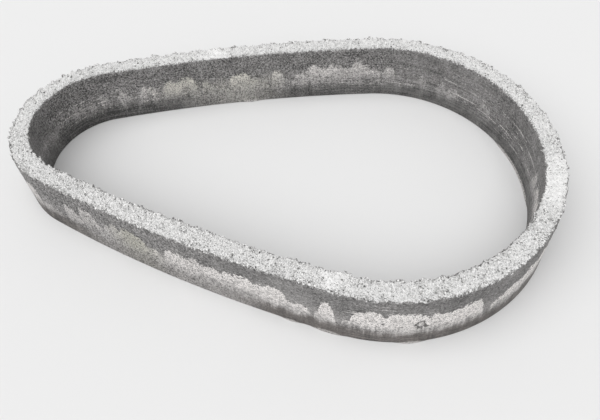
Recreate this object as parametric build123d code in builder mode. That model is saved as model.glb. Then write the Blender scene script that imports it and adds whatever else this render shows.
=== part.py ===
import os
from math import atan2, degrees, sqrt

from build123d import *

# An egg-shaped concrete ring that lies on its flat base, in millimetres.
# The origin is under the middle of the ring, +Z is up and +X points to the wide end.

bore_length = 1300.0
wide_bore_radius = 375.0
narrow_bore_radius = 180.0
flank_bore_radius = 3700.0
wall = 50.0
height = 180.0
top_arris = 3.0
base_arris = 1.5

# The bore's outline is four arcs that run into each other: one round each end and a long
# shallow one along each flank. The end arcs have their centres on the long axis.
wide_centre_x = bore_length / 2 - wide_bore_radius
narrow_centre_x = narrow_bore_radius - bore_length / 2
centre_distance = wide_centre_x - narrow_centre_x

# The upper flank's centre lies below the long axis. It is as far from each end's centre as
# the flank's radius is longer than that end's.
reach_to_wide = flank_bore_radius - wide_bore_radius
reach_to_narrow = flank_bore_radius - narrow_bore_radius
flank_centre_x = wide_centre_x + (
    (reach_to_narrow**2 - reach_to_wide**2 - centre_distance**2) / (2 * centre_distance)
)
flank_centre_y = -sqrt(reach_to_wide**2 - (flank_centre_x - wide_centre_x) ** 2)

# Arcs meet on the line through their two centres.
wide_meeting_angle = degrees(atan2(-flank_centre_y, wide_centre_x - flank_centre_x))
narrow_meeting_angle = degrees(atan2(-flank_centre_y, narrow_centre_x - flank_centre_x))

with BuildSketch() as bore:
    with BuildLine() as bore_outline:
        CenterArc((wide_centre_x, 0), wide_bore_radius, 0, wide_meeting_angle)
        CenterArc(
            (flank_centre_x, flank_centre_y),
            flank_bore_radius,
            wide_meeting_angle,
            narrow_meeting_angle - wide_meeting_angle,
        )
        CenterArc(
            (narrow_centre_x, 0),
            narrow_bore_radius,
            narrow_meeting_angle,
            180 - narrow_meeting_angle,
        )
        mirror(about=Plane.XZ)
    make_face()

# One casting: the wall keeps its thickness all the way round the bore, both rims are flat,
# and the arrises of the top rim are worn a little more than those of the base.
with BuildPart() as culvert_ring:
    with BuildSketch():
        add(bore.sketch)
        offset(amount=wall)
        add(bore.sketch, mode=Mode.SUBTRACT)
    extrude(amount=height)
    top_rim = culvert_ring.faces().sort_by(Axis.Z)[-1]
    base_rim = culvert_ring.faces().sort_by(Axis.Z)[0]
    chamfer(top_rim.edges(), length=top_arris)
    chamfer(base_rim.edges(), length=base_arris)

culvert_ring.part.label = "culvert_ring"

os.makedirs("parts", exist_ok=True)
export_step(culvert_ring.part, "parts/culvert_ring.step")

ring_box = culvert_ring.part.bounding_box()
print("size", ring_box.size, "from", ring_box.min, "to", ring_box.max)
print("volume, litres", culvert_ring.part.volume / 1e6)
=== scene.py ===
import math

import bpy
import numpy as np
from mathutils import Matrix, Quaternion, Vector


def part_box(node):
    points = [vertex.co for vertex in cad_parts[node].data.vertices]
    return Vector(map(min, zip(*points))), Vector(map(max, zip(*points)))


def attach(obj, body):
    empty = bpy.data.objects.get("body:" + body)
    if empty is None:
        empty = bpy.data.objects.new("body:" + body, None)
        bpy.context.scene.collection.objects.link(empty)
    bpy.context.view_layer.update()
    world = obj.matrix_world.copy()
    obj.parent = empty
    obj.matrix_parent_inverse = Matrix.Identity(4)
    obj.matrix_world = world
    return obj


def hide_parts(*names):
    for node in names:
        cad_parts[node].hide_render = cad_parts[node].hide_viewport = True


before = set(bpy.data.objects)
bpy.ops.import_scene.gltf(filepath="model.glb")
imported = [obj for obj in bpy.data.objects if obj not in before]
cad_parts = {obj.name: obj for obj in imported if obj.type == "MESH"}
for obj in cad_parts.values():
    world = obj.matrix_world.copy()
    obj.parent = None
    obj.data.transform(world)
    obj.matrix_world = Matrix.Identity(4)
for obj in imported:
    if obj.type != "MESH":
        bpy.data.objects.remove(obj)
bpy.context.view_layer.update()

# The camera stands at the near side of the ring and looks down into its bore.
camera = {
    "place": (0.263, -0.982, 1.228),
    "aim": (0.030, 0.169, 0.0),
    "roll": -3.24,  # degrees, clockwise as seen from behind the camera
    "lens": 34.8,
    "sensor": 36.0,
    "shiftUp": -0.125,
}


def setCamera():
    data = bpy.data.cameras.new("camera")
    data.lens = camera["lens"]
    data.sensor_width = camera["sensor"]
    data.shift_y = camera["shiftUp"]
    eye = bpy.data.objects.new("camera", data)
    bpy.context.scene.collection.objects.link(eye)
    eye.location = camera["place"]
    gaze = Vector(camera["aim"]) - Vector(camera["place"])
    turned = Quaternion((0, 0, 1), math.radians(camera["roll"]))
    eye.rotation_mode = "QUATERNION"
    eye.rotation_quaternion = gaze.to_track_quat("-Z", "Y") @ turned
    bpy.context.scene.camera = eye
    print("camera set")


setCamera()

# Nodes are written as expressions on these classes.


class Wire:  # an output socket that can be added, multiplied and compared
    def __init__(self, nodes, socket):
        self.nodes = nodes
        self.socket = socket

    def maths(self, operation, *others):
        settings = {"operation": operation}
        return self.nodes.node("ShaderNodeMath", settings, dict(enumerate((self, *others))))

    def __add__(self, other):
        return self.maths("ADD", other)

    __radd__ = __add__

    def __sub__(self, other):
        return self.maths("SUBTRACT", other)

    def __rsub__(self, other):
        return (self * -1) + other

    def __mul__(self, other):
        return self.maths("MULTIPLY", other)

    __rmul__ = __mul__

    def power(self, exponent):
        return self.maths("POWER", exponent)

    def least(self, other):
        return self.maths("MINIMUM", other)

    def most(self, other):
        return self.maths("MAXIMUM", other)

    def rise(self, low, high):  # 0 below low, 1 above high, smooth between
        settings = {"interpolation_type": "SMOOTHSTEP"}
        sockets = {"Value": self, "From Min": low, "From Max": high}
        return self.nodes.node("ShaderNodeMapRange", settings, sockets)

    def fall(self, low, high):
        return 1 - self.rise(low, high)


def pick(sockets, name):  # by place, or the one of that name that is in use
    if isinstance(name, int):
        return sockets[name]
    return next(socket for socket in sockets if socket.name == name and socket.enabled)


class Nodes:  # a node tree and the one method that fills it
    def __init__(self, tree):
        self.tree = tree
        tree.nodes.clear()

    def node(self, kind, settings=None, sockets=None, output=0):
        made = self.tree.nodes.new(kind)
        settings = dict(settings or {})
        stops = settings.pop("stops", None)
        for name, value in settings.items():
            setattr(made, name, value)
        if stops:
            ramp = made.color_ramp.elements
            while len(ramp) < len(stops):
                ramp.new(0.5)
            for element, (place, colour) in zip(ramp, stops):
                element.position = place
                element.color = (*colour, 1)
        for name, value in (sockets or {}).items():
            socket = pick(made.inputs, name)
            for one in value if isinstance(value, list) else [value]:
                if isinstance(one, Wire):
                    self.tree.links.new(one.socket, socket)
                elif socket.type == "RGBA":
                    socket.default_value = (*one[:3], 1)
                else:
                    socket.default_value = one
        return Wire(self, pick(made.outputs, output)) if made.outputs else None

    def attribute(self, name):
        return self.node("ShaderNodeAttribute", {"attribute_name": name}, output="Fac")

    def split(self, vector):
        sockets = {0: vector}
        return [self.node("ShaderNodeSeparateXYZ", {}, sockets, axis) for axis in range(3)]

    def vector(self, x, y, z):
        return self.node("ShaderNodeCombineXYZ", sockets={0: x, 1: y, 2: z})

    def noise(self, place, scale, detail=2.0, roughness=0.5):  # centred on 0
        sockets = {"Vector": place, "Scale": scale, "Detail": detail, "Roughness": roughness}
        return self.node("ShaderNodeTexNoise", {}, sockets) - 0.5

    def blend(self, factor, first, second):
        settings = {"data_type": "RGBA", "clamp_factor": True}
        return self.node("ShaderNodeMix", settings, {0: factor, 6: first, 7: second}, 2)

    def shade(self, colour, amount):  # a colour made lighter or darker
        return self.node("ShaderNodeVectorMath", {"operation": "SCALE"}, {0: colour, 3: amount})


class Shader(Nodes):
    def __init__(self, name):
        self.material = bpy.data.materials.new(name)
        self.material.use_nodes = True
        super().__init__(self.material.node_tree)

    def here(self):
        return self.node("ShaderNodeTexCoord", output="Object")

    def bump(self, height):  # height is in metres
        return self.node("ShaderNodeBump", {}, {"Height": height, "Distance": 1.0})

    def finish(self, sockets):
        surface = self.node("ShaderNodeBsdfPrincipled", {}, sockets)
        self.node("ShaderNodeOutputMaterial", {}, {"Surface": surface})
        print("material", self.material.name)
        return self.material


# Helpers for modelling: everything is selected by where it is.


def choose(thing):  # it alone is selected, and active
    bpy.ops.object.select_all(action="DESELECT")
    thing.select_set(True)
    bpy.context.view_layer.objects.active = thing


def startEditing(thing):
    choose(thing)
    bpy.ops.object.mode_set(mode="EDIT")
    bpy.ops.mesh.select_all(action="DESELECT")


def selectWhere(thing, kind, test):  # kind is vertices or edges
    bpy.ops.mesh.select_mode(type={"vertices": "VERT", "edges": "EDGE"}[kind])
    bpy.ops.mesh.select_all(action="DESELECT")
    bpy.ops.object.mode_set(mode="OBJECT")
    points = thing.data.vertices
    for item in getattr(thing.data, kind):
        if kind == "vertices":
            middle = item.co
        else:
            corners = [points[i].co for i in item.vertices]
            middle = sum(corners, Vector()) / len(corners)
        item.select = test(middle)
    bpy.ops.object.mode_set(mode="EDIT")


def setPlace(thing):  # the object ends at the origin, with its place in its mesh
    bpy.ops.object.mode_set(mode="OBJECT")
    bpy.ops.object.transform_apply(location=True, rotation=True, scale=True)


def pointsOf(thing):
    points = np.empty(len(thing.data.vertices) * 3, np.float32)
    thing.data.vertices.foreach_get("co", points)
    return points.reshape(-1, 3).astype(float)


def cornersOf(thing):  # the point at each corner of each face
    corners = np.empty(len(thing.data.loops), np.int32)
    thing.data.loops.foreach_get("vertex_index", corners)
    return corners


def settleOrder(thing):  # a spin leaves its faces in another order on each run
    faces = cornersOf(thing).reshape(-1, 4)
    turned = (faces.argmin(axis=1)[:, None] + np.arange(4)) % 4
    faces = np.take_along_axis(faces, turned, axis=1)
    faces = faces[np.lexsort(faces.T[::-1])]
    points = pointsOf(thing)
    thing.data.clear_geometry()
    thing.data.from_pydata(points.tolist(), [], faces.tolist())
    thing.data.update()


# The ring's plan: four arcs that run into each other. The radii are the bore's.
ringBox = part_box("culvert_ring")
ring = {
    "wall": 0.050,
    "wideRadius": 0.375,
    "narrowRadius": 0.180,
    "flankRadius": 3.700,
    "height": ringBox[1][2] - ringBox[0][2],
    "length": ringBox[1][0] - ringBox[0][0],
    "topArris": 0.003,
    "baseArris": 0.002,
    "column": 0.0034,  # mesh spacing along the wall
    "rimCuts": 18,  # and the cuts across the rim, up each wall and across the base
    "wallCuts": 34,
    "baseCuts": 2,
    "seam": 0.0003,  # points this near are one
    "touch": 0.00025,  # a point this near a face of the wall lies on it
}


def planOfRing():
    wall = ring["wall"]
    half = ring["length"] / 2 - wall
    wideX = half - ring["wideRadius"]
    narrowX = ring["narrowRadius"] - half
    gap = wideX - narrowX
    toWide = ring["flankRadius"] - ring["wideRadius"]
    toNarrow = ring["flankRadius"] - ring["narrowRadius"]
    flankX = wideX + (toNarrow**2 - toWide**2 - gap**2) / (2 * gap)
    flankY = math.sqrt(toWide**2 - (flankX - wideX) ** 2)
    wideAngle = math.atan2(flankY, wideX - flankX)
    narrowAngle = math.atan2(flankY, narrowX - flankX)
    # each arc of the half on the +Y side: centre, radius at mid wall, first and last angle
    return [
        ((wideX, 0), ring["wideRadius"] + wall / 2, 0, wideAngle),
        ((flankX, -flankY), ring["flankRadius"] + wall / 2, wideAngle, narrowAngle),
        ((narrowX, 0), ring["narrowRadius"] + wall / 2, narrowAngle, math.pi),
    ]


halfPlan = planOfRing()


def wallSection():  # the wall's outline across, standing on the ground at x = 0
    wall, height = ring["wall"], ring["height"]
    bpy.ops.object.select_all(action="DESELECT")
    bpy.ops.mesh.primitive_plane_add(
        size=1, location=(0, 0, height / 2), rotation=(math.pi / 2, 0, 0)
    )
    section = bpy.context.object
    section.scale = (wall, height, 1)
    setPlace(section)
    startEditing(section)
    selectWhere(section, "vertices", lambda p: p.z > height / 2)
    bpy.ops.mesh.bevel(affect="VERTICES", offset=ring["topArris"], segments=2)
    near = ring["touch"]
    selectWhere(section, "vertices", lambda p: p.z < near)
    bpy.ops.mesh.bevel(affect="VERTICES", offset=ring["baseArris"])
    bpy.ops.mesh.select_all(action="SELECT")
    bpy.ops.mesh.delete(type="ONLY_FACE")
    cuts = [
        (ring["rimCuts"], lambda p: p.z > height - near),
        (ring["wallCuts"], lambda p: abs(p.x) > wall / 2 - near),
        (ring["baseCuts"], lambda p: p.z < near),
    ]
    for count, test in cuts:
        selectWhere(section, "edges", test)
        bpy.ops.mesh.subdivide(number_cuts=count)
    bpy.ops.object.mode_set(mode="OBJECT")
    return section


def castRing():
    section = wallSection()
    stretches = []
    for centre, radius, first, last in halfPlan:
        stretch = section.copy()
        stretch.data = section.data.copy()
        bpy.context.scene.collection.objects.link(stretch)
        across = Vector((math.cos(first), math.sin(first), 0))
        stretch.location = Vector((*centre, 0)) + across * radius
        stretch.rotation_euler.z = first
        choose(stretch)
        setPlace(stretch)
        startEditing(stretch)
        bpy.ops.mesh.select_all(action="SELECT")
        steps = round(radius * (last - first) / ring["column"])
        # with no window a spin turns the other way
        bpy.ops.mesh.spin(
            steps=steps, angle=first - last, center=(*centre, 0), axis=(0, 0, 1)
        )
        bpy.ops.object.mode_set(mode="OBJECT")
        stretches.append(stretch)
    bpy.data.objects.remove(section)
    for stretch in stretches:
        stretch.select_set(True)
    body = bpy.context.object
    bpy.ops.object.join()
    body.name = body.data.name = "ringCasting"
    mirror = body.modifiers.new("otherFlank", "MIRROR")
    mirror.use_axis = (False, True, False)
    mirror.merge_threshold = ring["seam"]
    bpy.ops.object.modifier_apply(modifier=mirror.name)
    startEditing(body)
    bpy.ops.mesh.select_all(action="SELECT")
    bpy.ops.mesh.remove_doubles(threshold=ring["seam"])
    bpy.ops.mesh.normals_make_consistent(inside=False)
    bpy.ops.object.mode_set(mode="OBJECT")
    settleOrder(body)
    bpy.ops.object.shade_smooth()
    print("ring cast", len(body.data.polygons), "faces")
    return body


body = castRing()

# Dried lime on the walls, as rounded patches that stand side by side: each is its middle
# along the wall, its half width, the height of its crest and its whiteness. Lengths run
# anticlockwise from the wide tip, and all are shares, of the way round and of the height.
lime = {
    "foot": 0.22,
    "roundness": 2.9,  # the higher, the flatter a patch's crest
    "sides": 0.55,  # the lower, the steeper its sides
    "wander": [(0.0010, 0.0070), (0.0003, 0.0023)],  # how far the sides stray, over what length
    "unevenTop": (0.08, 0.0050),  # and the tops
    "outer": [
        (0.575, 0.012, 0.43, 0.35),
        (0.599, 0.008, 0.66, 0.45),
        (0.616, 0.010, 0.80, 0.50),
        (0.638, 0.012, 0.72, 0.50),
        (0.653, 0.014, 0.76, 0.55),
        (0.671, 0.007, 0.57, 0.65),
        (0.689, 0.011, 0.70, 0.82),
        (0.701, 0.012, 0.73, 0.82),
        (0.7135, 0.0115, 0.70, 0.88),
        (0.7265, 0.0090, 0.65, 0.92),
        (0.7375, 0.0100, 0.71, 1.00),
        (0.7485, 0.0090, 0.65, 0.92),
        (0.7585, 0.0095, 0.70, 0.90),
        (0.7720, 0.0095, 0.52, 0.90),
        (0.7917, 0.0060, 0.72, 0.95),
        (0.7905, 0.0084, 0.48, 0.88),
        (0.8065, 0.0060, 0.47, 0.85),
        (0.8125, 0.0080, 0.69, 1.00),
        (0.8180, 0.0095, 0.735, 1.00),
        (0.8330, 0.0115, 0.70, 1.00),
        (0.8415, 0.0120, 0.715, 1.00),
        (0.8575, 0.0095, 0.675, 1.00),
        (0.8680, 0.0090, 0.69, 1.00),
        (0.8755, 0.0095, 0.74, 1.00),
        (0.896, 0.007, 0.50, 0.85),
        (0.907, 0.011, 0.62, 0.95),
        (0.921, 0.012, 0.70, 1.00),
        (0.938, 0.014, 0.74, 0.95),
    ],
    "inner": [
        (0.089, 0.008, 0.50, 0.30),
        (0.1215, 0.006, 0.50, 0.50),
        (0.1345, 0.0055, 0.50, 0.45),
        (0.1525, 0.006, 0.50, 0.45),
        (0.1835, 0.006, 0.62, 0.55),
        (0.199, 0.010, 0.56, 0.50),
        (0.2105, 0.011, 0.70, 0.62),
        (0.223, 0.010, 0.60, 0.55),
        (0.232, 0.011, 0.67, 0.65),
        (0.247, 0.014, 0.70, 0.75),
        (0.261, 0.010, 0.54, 0.60),
        (0.2825, 0.0065, 0.62, 0.85),
        (0.300, 0.011, 0.46, 0.70),
        (0.315, 0.0125, 0.64, 0.95),
        (0.335, 0.009, 0.44, 0.60),
        (0.3455, 0.0055, 0.57, 0.65),
        (0.3625, 0.0105, 0.67, 0.80),
        (0.376, 0.010, 0.62, 0.80),
        (0.3955, 0.010, 0.60, 0.65),
        (0.4170, 0.008, 0.57, 0.62),
        (0.4345, 0.0060, 0.52, 0.62),
        (0.4475, 0.0038, 0.48, 0.55),
        (0.4600, 0.0075, 0.50, 0.50),
        (0.505, 0.016, 0.48, 0.30),
        (0.988, 0.0090, 0.54, 0.60),
        (0.0005, 0.0065, 0.62, 0.50),
    ],
    "hidden": {"outer": (0.03, 0.555), "inner": (0.545, 0.945)},  # where more are drawn
    "drawn": {  # a pair is the range of a random value
        "crest": (0.52, 0.72),
        "whiteness": (0.45, 0.95),
        "run": (1, 6),  # patches that touch, at most five
        "half": (0.007, 0.014),
        "before": (0.5, 0.9),  # room before a patch's middle, in its half widths
        "after": 0.6,  # and after it
        "uneven": (-0.12, 0.09),
        "gap": (0.002, 0.024),
    },
    "seed": 11,
}

# Stretches of wall that differ, from where to where round the ring.
wear = {
    "drag": {
        "inner": [(0.90, 0.25), (0.38, 0.49), (0.62, 0.74)],
        "outer": [(0.22, 0.33), (0.800, 0.850)],
    },
    "pale": {"outer": [(0.59, 0.755), (0.16, 0.24)], "inner": [(0.27, 0.37)]},
    "wet": {"inner": [(0.36, 0.52)], "outer": [(0.52, 0.60)]},
    "yellow": {"inner": [(0.27, 0.40)], "outer": [(0.63, 0.68), (0.26, 0.31)]},
    "fin": {
        "inner": [(0.995, 0.070), (0.298, 0.318), (0.62, 0.66), (0.80, 0.83)],
        "outer": [(0.760, 0.776), (0.781, 0.805), (0.832, 0.853), (0.10, 0.14), (0.40, 0.43)],
    },
    "trowelled": {"rim": [(0.783, 0.803), (0.955, 0.004), (0.32, 0.35)]},
    "coarse": {"inner": [(0.16, 0.52), (0.60, 0.93)], "outer": [(0.54, 0.73), (0.06, 0.20)]},
    "soft": {"pale": 0.035, "wet": 0.035, "yellow": 0.020, "coarse": 0.040},  # fades in
    "crisp": 0.008,  # and so do the others
    "smoothed": 0.8,  # the share of the grains that a trowelled stretch lacks
    "finReach": 0.0045,  # metres, as the height
    "finHeight": 0.009,
}

# Crumbled spots of the rim: the share of the way round, how far from mid wall, and how far
# each reaches. Holes in the walls: the side, the shares of the way round and of the height,
# half width, half height and depth.
holes = {
    "spots": [
        (0.6247, 0.019, 0.010),
        (0.6353, 0.019, 0.009),
        (0.7030, 0.021, 0.010),
        (0.7090, 0.010, 0.007),
        (0.7163, 0.019, 0.009),
        (0.7300, 0.010, 0.007),
        (0.7446, 0.021, 0.011),
        (0.7824, 0.016, 0.011),
        (0.7879, 0.012, 0.010),
        (0.8462, 0.019, 0.011),
        (0.8490, 0.021, 0.010),
        (0.8819, 0.015, 0.009),
    ],
    "moreSpots": 70,
    "spotOver": (0.008, 0.022),  # from mid wall
    "spotReach": (0.005, 0.012),
    "spotDepth": 0.0022,
    "wall": [
        ("outer", 0.8250, 0.45, 0.0040, 0.0040, 0.0025),
        ("outer", 0.8660, 0.50, 0.0035, 0.0035, 0.0025),
        ("outer", 0.8700, 0.44, 0.0035, 0.0035, 0.0025),
        ("outer", 0.7785, 0.46, 0.0040, 0.0040, 0.0025),
        ("inner", 0.3000, 0.55, 0.0040, 0.0040, 0.0025),
        ("inner", 0.0870, 0.62, 0.0040, 0.0035, 0.0025),
    ],
    "stones": [  # each shows as the groove round it, painted dark as shade
        ("outer", 0.8467, 0.43, 0.0090, 0.0125, 0.0045),
        ("outer", 0.2540, 0.36, 0.0080, 0.0085, 0.0035),
        ("inner", 0.7100, 0.52, 0.0075, 0.0080, 0.0035),
    ],
    "groove": 0.38,  # half its width, in the stone's own half widths
    "grooveDepth": (0.76, 0.24, 0.4),  # all round, the swing to its two ends, and their turn
    "stoneFace": 0.22,  # how deep the stone itself lies, as a share of the groove
    "stoneLobes": [(0.10, 3, 1), (0.06, 5, 0)],  # size, number and turn
    "moreOnWalls": 70,
    "holeSize": (0.003, 0.0045),
    "holeHeight": (0.15, 0.9),
    "holeDepth": 0.0025,
    "away": 3,  # half widths, where no hole is near
    "seed": 5,
}


def walk(points):  # how far round and across the wall each point is, and the way out
    (wideX, _), wideRadius, _, wideAngle = halfPlan[0]
    (flankX, flankY), flankRadius, _, narrowAngle = halfPlan[1]
    (narrowX, _), narrowRadius, _, _ = halfPlan[2]
    x, y = points[:, 0], np.abs(points[:, 1])
    wideTurn = np.arctan2(y, x - wideX)
    flankTurn = np.arctan2(y - flankY, x - flankX)
    narrowTurn = np.arctan2(y, x - narrowX)
    wideLength = wideRadius * wideAngle
    toNarrow = wideLength + flankRadius * (narrowAngle - wideAngle)
    halfLength = toNarrow + narrowRadius * (math.pi - narrowAngle)
    arcs = [wideTurn <= wideAngle, narrowTurn >= narrowAngle]
    along = np.select(
        arcs,
        [wideRadius * wideTurn, toNarrow + narrowRadius * (narrowTurn - narrowAngle)],
        wideLength + flankRadius * (flankTurn - wideAngle),
    )
    across = np.select(
        arcs,
        [np.hypot(x - wideX, y) - wideRadius, np.hypot(x - narrowX, y) - narrowRadius],
        np.hypot(x - flankX, y - flankY) - flankRadius,
    )
    turn = np.select(arcs, [wideTurn, narrowTurn], flankTurn)
    side = np.where(points[:, 1] < 0, -1.0, 1.0)
    along = np.where(side < 0, 2 * halfLength - along, along)
    out = np.stack([np.cos(turn), np.sin(turn) * side, np.zeros_like(turn)], axis=1)
    return along, across, out, 2 * halfLength


cleanPoints = pointsOf(body)
along, across, wayOut, lengthRound = walk(cleanPoints)
share = along / lengthRound
up = cleanPoints[:, 2]
outer = across > 0
fromEdge = np.hypot(ring["wall"] / 2 - np.abs(across), ring["height"] - up)
onWall = np.abs(np.abs(across) - ring["wall"] / 2) < ring["touch"]
onRim = up > ring["height"] - ring["touch"]


def between(place, start, end, soft):  # 1 on the stretch from start to end, and 0 off it
    into = (place - start) % 1
    span = (end - start) % 1
    return np.clip(into / soft, 0, 1) * np.clip((span - into) / soft, 0, 1)


def worn(name):
    level = np.zeros_like(share)
    soft = wear["soft"].get(name, wear["crisp"])
    for side, stretches in wear[name].items():
        here = {"inner": ~outer, "outer": outer, "rim": np.ones_like(outer)}[side]
        for start, end in stretches:
            level = np.maximum(level, between(share, start, end, soft) * here)
    return level


def wobble(chance, period):  # a smooth uneven wave round the ring, within -1 and 1
    knots = chance.uniform(-1, 1, round(1 / period))
    place = (share / period) % len(knots)
    first = place.astype(int) % len(knots)
    part = place % 1
    part = part * part * (3 - 2 * part)
    return knots[first] * (1 - part) + knots[(first + 1) % len(knots)] * part


def limePatches(side, chance):
    drawn = lime["drawn"]
    patches = list(lime[side])
    at, end = lime["hidden"][side]
    while at < end:
        crest = chance.uniform(*drawn["crest"])
        white = chance.uniform(*drawn["whiteness"])
        for _ in range(chance.integers(*drawn["run"])):
            half = chance.uniform(*drawn["half"])
            at += half * chance.uniform(*drawn["before"])
            height = crest + chance.uniform(*drawn["uneven"])
            patches.append((at, half, height, white))
            at += half * drawn["after"]
        at += chance.uniform(*drawn["gap"])
    return patches


def limeBorder(side):  # the height of the lime's upper border, and its whiteness
    chance = np.random.default_rng(lime["seed"] + ord(side[0]))
    top = np.zeros_like(share)
    white = np.zeros_like(share)
    weight = np.full_like(share, 1e-6)  # never 0
    patches = limePatches(side, chance)
    warped = share
    for far, period in lime["wander"]:
        warped = warped + far * wobble(chance, period)
    for middle, half, crest, whiteness in patches:
        apart = np.abs(warped - middle)
        apart = np.minimum(apart, 1 - apart) / half
        arch = np.clip(1 - apart ** lime["roundness"], 0, None) ** lime["sides"]
        top = np.maximum(top, lime["foot"] + (crest - lime["foot"]) * arch)
        near = np.exp(-(apart**2))
        white += near * whiteness
        weight += near
    uneven, period = lime["unevenTop"]
    top += (top - lime["foot"]) * uneven * wobble(chance, period)
    return top, white / weight


def crumbledLevels():  # 1 in the middle of a crumbled spot of the rim, 0 away from all
    chance = np.random.default_rng(holes["seed"])
    level = np.zeros_like(share)
    spots = list(holes["spots"])
    for _ in range(holes["moreSpots"]):
        over = chance.choice([-1, 1]) * chance.uniform(*holes["spotOver"])
        spots.append((chance.uniform(0, 1), over, chance.uniform(*holes["spotReach"])))
    for place, over, reach in spots:
        far = np.hypot((share - place) * lengthRound, across - over) / reach
        level = np.maximum(level, np.exp(-(far**2)) * onRim)
    return level


def grooveRound(aside, above, far):  # deepest at the stone's two ends
    turn = np.arctan2(above, aside)
    lobes = [size * np.sin(number * turn + start) for size, number, start in holes["stoneLobes"]]
    far = far * sum(lobes, 1)
    allRound, swing, start = holes["grooveDepth"]
    groove = np.exp(-(((far - 1) / holes["groove"]) ** 2))
    groove = groove * (allRound + swing * np.cos(2 * turn - start))
    return far, np.maximum(groove, holes["stoneFace"] * (far < 1))


def holeLevels():  # how deep each point lies in a hole, in metres, and how far from any
    chance = np.random.default_rng(holes["seed"])
    level = np.zeros_like(share)
    nearest = {name: np.full_like(share, holes["away"]) for name in ("holeFar", "stoneFar")}
    pits = list(holes["wall"])
    for _ in range(holes["moreOnWalls"]):
        side = chance.choice(["inner", "outer"])
        size = chance.uniform(*holes["holeSize"])
        place = chance.uniform(0, 1)
        middle = chance.uniform(*holes["holeHeight"])
        pits.append((side, place, middle, size, size, holes["holeDepth"]))
    for hole in pits + holes["stones"]:
        side, place, middle, wide, high, depth = hole
        aside = (share - place) * lengthRound / wide
        above = (up - middle * ring["height"]) / high
        far = np.hypot(aside, above)
        here = onWall & (outer == (side == "outer"))
        if hole in holes["stones"]:
            name = "stoneFar"
            far, profile = grooveRound(aside, above, far)
        else:
            name = "holeFar"
            profile = np.exp(-(far**2))
        level = np.maximum(level, depth * profile * here)
        nearest[name] = np.minimum(nearest[name], np.where(here, far, holes["away"]))
    return level, nearest


def store(thing, name, values):
    layer = thing.data.attributes.new(name, "FLOAT", "POINT")
    layer.data.foreach_set("value", values.astype(np.float32))


def setGroup(thing, name, weights):  # in even steps, so that a few calls set them all
    steps = 20
    group = thing.vertex_groups.new(name=name)
    levels = np.round(weights * steps) / steps
    for level in np.unique(levels[levels > 0]):
        members = np.nonzero(levels == level)[0].tolist()
        group.add(members, float(level), "REPLACE")


def setMap(thing, uv):  # a pair for each corner of each face
    layer = thing.data.uv_layers.new(name="OFBake")
    layer.uv.foreach_set("vector", uv.astype(np.float32).ravel())


# How far each mark reaches from the rim, its edges or the ground, in metres. Where there are
# two, the first is where it starts and the second is what it takes to grow to the full.
reaches = {
    "rim": 0.006,
    "edge": 0.009,
    "edgeGrains": 0.0045,
    "wallBelowRim": (0.004, 0.010),
    "wallAboveGround": (0.003, 0.006),
    "sunk": (0.001, 0.006),
}


def grown(distance, name):
    start, growth = reaches[name]
    return np.clip((distance - start) / growth, 0, 1)


def nearEdge(name):
    return np.exp(-((fromEdge / reaches[name]) ** 2))


crumbled = crumbledLevels()
wallHoles, nearestHoles = holeLevels()
fin = worn("fin") * onWall * np.clip(1 - up / wear["finHeight"], 0, 1)


def markRing(thing):
    height = ring["height"]
    down = height - up
    limeOuter, whiteOuter = limeBorder("outer")
    limeInner, whiteInner = limeBorder("inner")
    store(thing, "limeTop", np.where(outer, limeOuter, limeInner) * height)
    store(thing, "limeWhite", np.where(outer, whiteOuter, whiteInner))
    store(thing, "rimNear", np.where(onWall, down, -fromEdge))
    for name, far in nearestHoles.items():
        store(thing, name, far)
    store(thing, "crumbled", crumbled)
    store(thing, "fin", fin)
    store(thing, "outer", outer.astype(float))
    for name in ("drag", "pale", "wet", "yellow", "trowelled", "coarse"):
        store(thing, name, worn(name))
    store(thing, "grains", onRim * (1 - wear["smoothed"] * worn("trowelled")))
    store(thing, "edgeGrains", nearEdge("edgeGrains"))
    setGroup(thing, "rim", np.clip(1 - down / reaches["rim"], 0, 1))
    setGroup(thing, "edge", nearEdge("edge"))
    walls = grown(down, "wallBelowRim") * grown(up, "wallAboveGround")
    setGroup(thing, "walls", onWall * walls)
    print("ring marked")


# The ring's map: the wall unrolled in strips, one above the other.
unrolled = {
    "strips": 3,
    "margin": 0.01,  # metres, as the gap
    "gap": 0.02,
    "arris": 1.5,  # how far round an edge the map goes on as the rim's, in arrises
}


def wayAcross():  # how far up the inside, over the rim, down the outside and back each point is
    height, wall = ring["height"], ring["wall"]
    half = wall / 2
    down = height - up
    atArris = down + half - np.abs(across) < ring["topArris"] * unrolled["arris"]
    overRim = height + half + across
    underBase = 2 * height + wall + half - across
    return np.select(
        [atArris, onWall & ~outer, onWall],
        [overRim + np.where(outer, down, -down), up, height + wall + down],
        np.where(down > height / 2, underBase, overRim),
    )


def unrollRing(thing):
    strips, margin = unrolled["strips"], unrolled["margin"]
    girth = 2 * (ring["height"] + ring["wall"])
    corners = cornersOf(thing)
    around = along[corners].reshape(-1, 4)
    over = wayAcross()[corners].reshape(-1, 4)
    around += lengthRound * (around.max(axis=1, keepdims=True) - around > lengthRound / 2)
    over += girth * (over.max(axis=1, keepdims=True) - over > girth / 2)
    strip = np.minimum(around.mean(axis=1) // (lengthRound / strips), strips - 1)[:, None]
    onward = around - strip * lengthRound / strips + margin
    uv = np.stack([onward, over + strip * (girth + unrolled["gap"])], axis=2).reshape(-1, 2)
    uv /= max(uv[:, 0].max(), uv[:, 1].max()) + margin
    setMap(thing, uv)
    print("ring unrolled")


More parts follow.
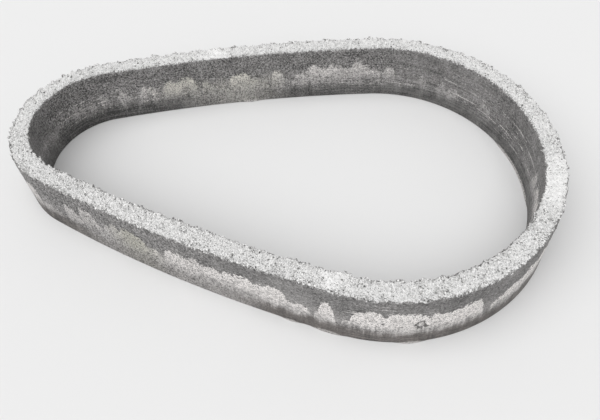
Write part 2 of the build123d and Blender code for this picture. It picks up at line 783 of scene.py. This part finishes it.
# Lumps, bites and waves, each a displacement: pattern size, depth, contrast, the level of the
# pattern that stays where it is, and where it acts.
relief = {
    "wallWaves": (0.110, 0.0024, 1.0, 0.5, "walls"),
    "wallDimples": (0.016, 0.0012, 1.5, 0.5, "walls"),
    "rimWaves": (0.065, 0.0040, 1.5, 0.70, "rim"),
    "rimLumps": (0.020, 0.0030, 1.8, 0.70, "rim"),
    "rimCrumbs": (0.0075, 0.0044, 2.4, 0.66, "rim"),
    "edgeBites": (0.015, 0.0065, 2.2, 0.61, "edge"),
    "edgeCrumbs": (0.0078, 0.0051, 2.2, 0.56, "edge"),
}


def roughen(thing):
    choose(thing)
    for name, (size, depth, contrast, still, group) in relief.items():
        texture = bpy.data.textures.new(name, "CLOUDS")
        texture.noise_scale = size
        texture.contrast = contrast
        push = thing.modifiers.new(name, "DISPLACE")
        push.texture = texture
        push.texture_coords = "LOCAL"
        push.vertex_group = group
        push.strength = depth
        push.mid_level = still
        bpy.ops.object.modifier_apply(modifier=name)
    points = pointsOf(thing)
    points[:, 2] -= crumbled * holes["spotDepth"]
    side = np.where(outer, 1.0, -1.0)
    points += wayOut * (side * (fin * wear["finReach"] - wallHoles))[:, None]
    points[:, 2] = np.maximum(points[:, 2], 0)
    thing.data.vertices.foreach_set("co", points.astype(np.float32).ravel())
    thing.data.update()
    # painted shade: the crust is darkened where the rim lies low
    sunk = grown(ring["height"] - points[:, 2], "sunk")
    store(thing, "sunk", sunk * onRim * (1 - nearEdge("edge")))
    print("ring roughened")


markRing(body)
unrollRing(body)
roughen(body)

# Loose grains and crumbs of the dry mix that stand out of the rim and its edges.
grains = {
    "fine": {"where": "grains", "apart": 0.0034, "small": 0.0012, "large": 0.0028, "seed": 3},
    "coarse": {
        "where": "edgeGrains",
        "apart": 0.0060,
        "small": 0.0016,
        "large": 0.0034,
        "seed": 8,
    },
    "most": 60000,  # per square metre
    "mostlySmall": 2.5,  # the higher, the fewer large ones
    "flatness": 0.85,
    "turn": 6.28,  # radians, all the way round
    "raggedness": (0.0040, 300.0),  # how far corners stray, and the scale of the pattern
    "corners": 12,  # of each grain
    "onMap": 0.42,  # half a grain's width in its square
}


def scatter(nodes, ground, kind):
    spots = nodes.node(
        "GeometryNodeDistributePointsOnFaces",
        {"distribute_method": "POISSON"},
        {
            "Mesh": ground,
            "Distance Min": kind["apart"],
            "Density Max": grains["most"],
            "Density Factor": nodes.node(
                "GeometryNodeInputNamedAttribute",
                {"data_type": "FLOAT"},
                {"Name": kind["where"]},
                "Attribute",
            ),
            "Seed": kind["seed"],
        },
        "Points",
    )
    chance = nodes.node("FunctionNodeRandomValue", {}, {"Seed": kind["seed"]}, "Value")
    size = chance.power(grains["mostlySmall"])
    size = size * (kind["large"] - kind["small"]) + kind["small"]
    turn = nodes.node(
        "FunctionNodeRandomValue",
        {"data_type": "FLOAT_VECTOR"},
        {"Max": (grains["turn"],) * 3, "Seed": kind["seed"] + 1},
        "Value",
    )
    grain = nodes.node("GeometryNodeMeshIcoSphere", {}, {"Radius": 1.0}, "Mesh")
    sockets = {
        "Points": spots,
        "Instance": grain,
        "Rotation": turn,
        "Scale": nodes.vector(size, size, size * grains["flatness"]),
    }
    laid = nodes.node("GeometryNodeInstanceOnPoints", {}, sockets, "Instances")
    tone = nodes.node("FunctionNodeRandomValue", {}, {"Seed": kind["seed"] + 2}, "Value")
    named = nodes.node(
        "GeometryNodeStoreNamedAttribute",
        {"data_type": "FLOAT", "domain": "INSTANCE"},
        {"Geometry": laid, "Name": "tone", "Value": tone},
        "Geometry",
    )
    return nodes.node("GeometryNodeRealizeInstances", {}, {"Geometry": named}, "Geometry")


def growGrains(ground):
    tree = bpy.data.node_groups.new("growGrains", "GeometryNodeTree")
    tree.interface.new_socket("Geometry", in_out="INPUT", socket_type="NodeSocketGeometry")
    tree.interface.new_socket("Geometry", in_out="OUTPUT", socket_type="NodeSocketGeometry")
    nodes = Nodes(tree)
    start = nodes.node("NodeGroupInput", output="Geometry")
    layers = [scatter(nodes, start, grains[name]) for name in ("fine", "coarse")]
    joined = nodes.node("GeometryNodeJoinGeometry", {}, {"Geometry": layers}, "Geometry")
    stray, scale = grains["raggedness"]
    place = nodes.node("GeometryNodeInputPosition", output="Position")
    sockets = {"Vector": place, "Scale": scale, "Detail": 0.0}
    ragged = nodes.node("ShaderNodeTexNoise", {}, sockets, "Color")
    centred = nodes.node(
        "ShaderNodeVectorMath", {"operation": "SUBTRACT"}, {0: ragged, 1: (0.5, 0.5, 0.5)}
    )
    sockets = {"Geometry": joined, "Offset": nodes.shade(centred, stray)}
    moved = nodes.node("GeometryNodeSetPosition", {}, sockets, "Geometry")
    nodes.node("NodeGroupOutput", {}, {"Geometry": moved})
    piece = ground.copy()
    piece.data = ground.data.copy()
    piece.name = piece.data.name = "rimGrains"
    bpy.context.scene.collection.objects.link(piece)
    choose(piece)
    sow = piece.modifiers.new("growGrains", "NODES")
    sow.node_group = tree
    bpy.ops.object.modifier_apply(modifier=sow.name)
    bpy.ops.object.shade_smooth()
    count = len(piece.data.vertices) // grains["corners"]
    print("grains grown", count, "with", len(piece.data.polygons), "faces")
    return piece


def unrollGrains(piece):  # each grain has its own square of the map
    points = pointsOf(piece).reshape(-1, grains["corners"], 3)
    count = len(points)
    side = math.ceil(math.sqrt(count))
    middle = points - points.mean(axis=1, keepdims=True)
    flat = middle[:, :, :2] / np.abs(middle).max(axis=(1, 2), keepdims=True)
    cell = np.stack([np.arange(count) % side, np.arange(count) // side], axis=1)
    uv = (cell[:, None, :] + 0.5 + grains["onMap"] * flat).reshape(-1, 2) / side
    piece.data.attributes.remove(piece.data.attributes["OFBake"])  # the ring's own, taken over
    setMap(piece, uv[cornersOf(piece)])
    print("grains unrolled")


crumbs = growGrains(body)
unrollGrains(crumbs)

# The concrete's colours, before the grain and the stains change them.
finish = {
    "wall": (0.228, 0.222, 0.219),
    "damp": (0.137, 0.125, 0.118),
    # inside: damp stain, and painted shade where the wall meets the ground
    "dampAndShadeInside": (0.131, 0.128, 0.125),
    "lime": (0.895, 0.860, 0.842),
    "yellowLime": (0.63, 0.615, 0.505),
    "crust": (0.925, 0.921, 0.915),
    "grey": (0.34, 0.335, 0.328),
    "dullGrain": (0.66, 0.656, 0.65),
    "brightGrain": (0.95, 0.946, 0.94),
    # dark is also the painted shade of pits, pinholes, holes and grooves
    "dark": (0.09, 0.088, 0.085),
}


def crustMask(s, here):  # 1 on the rim and, raggedly, a few millimetres down the walls
    ragged = s.noise(here, 85, 2, 0.6) * 0.014 + s.noise(here, 260, 2, 0.6) * 0.032
    return (s.attribute("rimNear") + ragged).fall(-0.001, 0.005)


def castConcrete():
    s = Shader("castConcrete")
    here = s.here()
    x, y, z = s.split(here)
    sand = s.noise(here, 430, 2, 0.6)
    grit = s.noise(here, 200, 2, 0.6)
    lumps = s.noise(here, 85, 2, 0.6)
    blotch = s.noise(here, 28, 3, 0.6)
    cloud = s.noise(here, 7, 2, 0.5)
    drawn = s.noise(s.vector(x * 9, y * 9, z * 240), 1, 3, 0.65)
    scraped = s.noise(s.vector(x * 11, y * 11, z * 200), 1, 2, 0.6)
    dribble = s.noise(s.vector(x * 60, y * 60, z * 7), 1, 3, 0.6)
    runs = s.noise(s.vector(x * 170, y * 170, z * 12), 1, 2, 0.6)
    pores = s.noise(here, 260, 1, 0.5)
    coarse = s.attribute("coarse")
    grain = grit * (2.1 + coarse * 1.7) + sand * (2.5 + coarse * 0.7) + pores * coarse * 2.6
    drag = s.attribute("drag")

    # formed walls, with the marks of the mould
    outer = s.attribute("outer")
    streaks = drawn * (0.7 + drag * 1.5) * (1.2 - z * 4.5)
    shade = 0.90 + outer * 0.02 + grain + blotch * 0.8 + cloud * 0.8 + streaks + dribble * 0.5
    colour = s.shade(finish["wall"], shade.most(0.25))

    # damp foot of the wall, darker towards the ground; inside, its colour is also painted shade
    # at the ground
    wet = s.attribute("wet")
    level = z + blotch * 0.030 + lumps * 0.012 + dribble * 0.020
    pale = s.attribute("pale")
    damp = level.fall(0.030, 0.062 + wet * 0.02) * (1 - pale * 0.6)
    footTone = 1.04 + grain * 0.7 + streaks * 1.2 + blotch * 1.4 + cloud * 0.8 - wet * 0.35
    footTone = footTone + (z - 0.030) * 5 + runs * 0.7 + dribble * 0.5
    # inside, the damp colour also stands in for the shade where the wall meets the ground
    # (painted shade)
    dampAndShadeTone = s.blend(outer, finish["dampAndShadeInside"], finish["damp"])
    dampAndShadeTone = s.shade(dampAndShadeTone, footTone.most(0.3))
    colour = s.blend(damp, colour, dampAndShadeTone)

    # lime: a ragged upper border, and a foot that fades into the damp
    white = s.attribute("limeWhite")
    border = s.attribute("limeTop") + lumps * 0.032 + grit * 0.030 + sand * 0.014 + blotch * 0.034
    patch = (border - z).rise(outer * 0.004 - 0.005, 0.014 - outer * 0.008)
    foot = z + blotch * 0.040 + lumps * 0.014 + dribble * 0.024 + runs * 0.050
    foot = foot.rise(0.030, 0.118 - outer * 0.030 + pale * 0.040)
    wholeAndHighlight = (grit * 1.2 + sand * 1.2 + lumps * 1.1 + blotch * 0.5 - pale * 0.06).rise(-0.20, 0.06)
    wholeAndHighlight = wholeAndHighlight.most((border - z).fall(0.003, 0.014))  # the crest of a patch is whitest, a painted highlight
    foot = (foot + pale * 0.30).least(1)
    veil = (z + blotch * 0.05 + dribble * 0.02).fall(0.070, 0.115) * (0.22 + pale * 0.36)
    patch = (patch + veil * (1 - patch)) * foot * white * (0.74 - outer * 0.10 + wholeAndHighlight * 0.36)
    yellow = s.attribute("yellow") * (outer * 0.30 + 0.50)
    limeTone = s.blend(yellow, finish["lime"], finish["yellowLime"])
    mottle = 0.99 + grain * (0.45 + pale * 0.36) + sand * 1.8 + lumps * 0.4 - blotch * 0.2
    limeTone = s.shade(limeTone, mottle.least(1.08).most(0.3))
    colour = s.blend(patch, colour, limeTone)

    # light lines that the mould left along the wall
    lines = (scraped + grit * 0.25).rise(0.12, 0.17) * z.rise(0.03, 0.06)
    lines = lines * (z - outer * 0.03).fall(0.10, 0.150)
    lineTone = s.shade(finish["lime"], 0.75 + grain * 0.7)
    colour = s.blend(lines * (0.10 + drag * 0.55), colour, lineTone)

    # open, pale crust of the screeded rim, with its specks, and pits painted dark as shade
    crust = crustMask(s, here)
    edge = s.attribute("rimNear").rise(-0.010, 0.000)
    sunk = s.attribute("sunk")
    crumbled = s.attribute("crumbled")
    trowelled = s.attribute("trowelled")
    # the crust's tone: its dust and grain, and painted shade in the rim's low spots
    dustAndShade = 1.10 + grit * 1.7 + sand * 2.2 + blotch * 0.5 + lumps * 0.9 - sunk.power(1.5) * 0.25
    crustTone = s.shade(finish["crust"], dustAndShade.least(1.05 - trowelled * 0.05).most(0.3))
    loose = edge * 0.13 + sunk * 0.04 + crumbled * 0.10 - trowelled * 0.04 + blotch * 0.40 - 0.026
    specks = (grit + sand * 0.9 + lumps * 0.2 + loose).rise(0.15, 0.19)
    crustTone = s.blend(specks * 0.85, crustTone, finish["grey"])
    # painted shade: pits are dark dots where small hollows would lie in shade, more of them near
    # the edges and in crumbled and low spots
    pits = (pores + loose * 0.9).rise(0.17, 0.22)
    crustTone = s.blend(pits * 0.85, crustTone, finish["dark"])
    # painted shade: dark pinholes in the walls
    wallPits = (pores + lumps * 0.3 + patch * 0.05).rise(0.20, 0.24)
    colour = s.blend(wallPits * 0.8, colour, finish["dark"])
    colour = s.blend(crust, colour, crustTone)

    # light fins at the foot, and painted shade in the holes and in the grooves round the stones
    colour = s.blend(s.attribute("fin").rise(0.1, 0.5) * 0.7, colour, lineTone)
    ragged = lumps * 1.6 + grit * 1.4
    hole = (s.attribute("holeFar") + ragged).fall(0.70, 1.10)
    groove = (s.attribute("stoneFar") - 1 + ragged).maths("ABSOLUTE").fall(0.22, 0.48)
    hollow = hole.most(groove)
    # painted shade in the holes and grooves
    colour = s.blend(hollow * 0.85, colour, finish["dark"])

    wallHeight = drawn * 0.0008 + grit * 0.0016 + sand * 0.0010 + patch * 0.0005
    rimHeight = (grit * 0.006 + sand * 0.004 + lumps * 0.004) * (1 - trowelled * 0.6)
    facing = s.bump(wallHeight + (rimHeight - wallHeight) * crust)
    rough = 0.88 + crust * 0.08 - damp * 0.2
    return s.finish({"Base Color": colour, "Roughness": rough, "Normal": facing})


def rimCrumbs():
    s = Shader("rimCrumbs")
    here = s.here()
    grain = s.noise(here, 500, 2, 0.6) + s.noise(here, 200, 2, 0.6)
    tone = s.attribute("tone")
    colour = s.node(
        "ShaderNodeValToRGB",
        {
            "stops": [
                (0.00, finish["dark"]),
                (0.06, finish["grey"]),
                (0.15, finish["dullGrain"]),
                (0.28, finish["crust"]),
                (1.00, finish["brightGrain"]),
            ]
        },
        {0: tone},
    )
    colour = s.blend(crustMask(s, here), finish["wall"], colour)
    colour = s.shade(colour, (1 + grain * 0.7).most(0.4))
    return s.finish({"Base Color": colour, "Roughness": 0.93, "Normal": s.bump(grain * 0.0012)})


for piece, material in ((body, castConcrete()), (crumbs, rimCrumbs())):
    piece.data.materials.clear()
    piece.data.materials.append(material)
    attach(piece, "root")
    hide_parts("culvert_ring")

# Plain pale floor and soft light.
studio = {
    "floorSize": 40.0,
    "floorTone": 0.80,
    "skyStrength": 0.52,
    "backdrop": 0.80,
    "sunFrom": (-0.9, -1.6, 3.6),
    "sunAngle": 75.0,  # degrees, wide for soft shadows
    "sunStrength": 1.95,
}


def floorMaterial():
    s = Shader("paleFloor")
    tone = studio["floorTone"]
    return s.finish({"Base Color": (tone, tone, tone), "Roughness": 0.9})


def softSky():
    world = bpy.data.worlds.new("softSky")
    bpy.context.scene.world = world
    world.use_nodes = True
    nodes = Nodes(world.node_tree)
    seen = nodes.node("ShaderNodeLightPath", output="Is Camera Ray")
    seen = seen.most(nodes.node("ShaderNodeLightPath", output="Is Glossy Ray"))
    seen = seen.most(nodes.node("ShaderNodeLightPath", output="Is Transmission Ray"))
    light = studio["skyStrength"]
    strength = seen * (studio["backdrop"] - light) + light
    sky = nodes.node("ShaderNodeBackground", {}, {"Color": (1, 1, 1), "Strength": strength})
    nodes.node("ShaderNodeOutputWorld", {}, {"Surface": sky})


def setStudio():
    bpy.ops.object.select_all(action="DESELECT")
    bpy.ops.mesh.primitive_plane_add(size=studio["floorSize"])
    floor = bpy.context.object
    floor.name = "floor"
    floor.data.materials.append(floorMaterial())
    softSky()
    lamp = bpy.data.lights.new("softSun", "SUN")
    lamp.angle = math.radians(studio["sunAngle"])
    lamp.energy = studio["sunStrength"]
    sun = bpy.data.objects.new("softSun", lamp)
    bpy.context.scene.collection.objects.link(sun)
    sun.location = studio["sunFrom"]
    sun.rotation_mode = "QUATERNION"
    sun.rotation_quaternion = (-Vector(studio["sunFrom"])).to_track_quat("-Z", "Y")
    bpy.context.scene.view_settings.view_transform = "Standard"
    print("studio set")


setStudio()
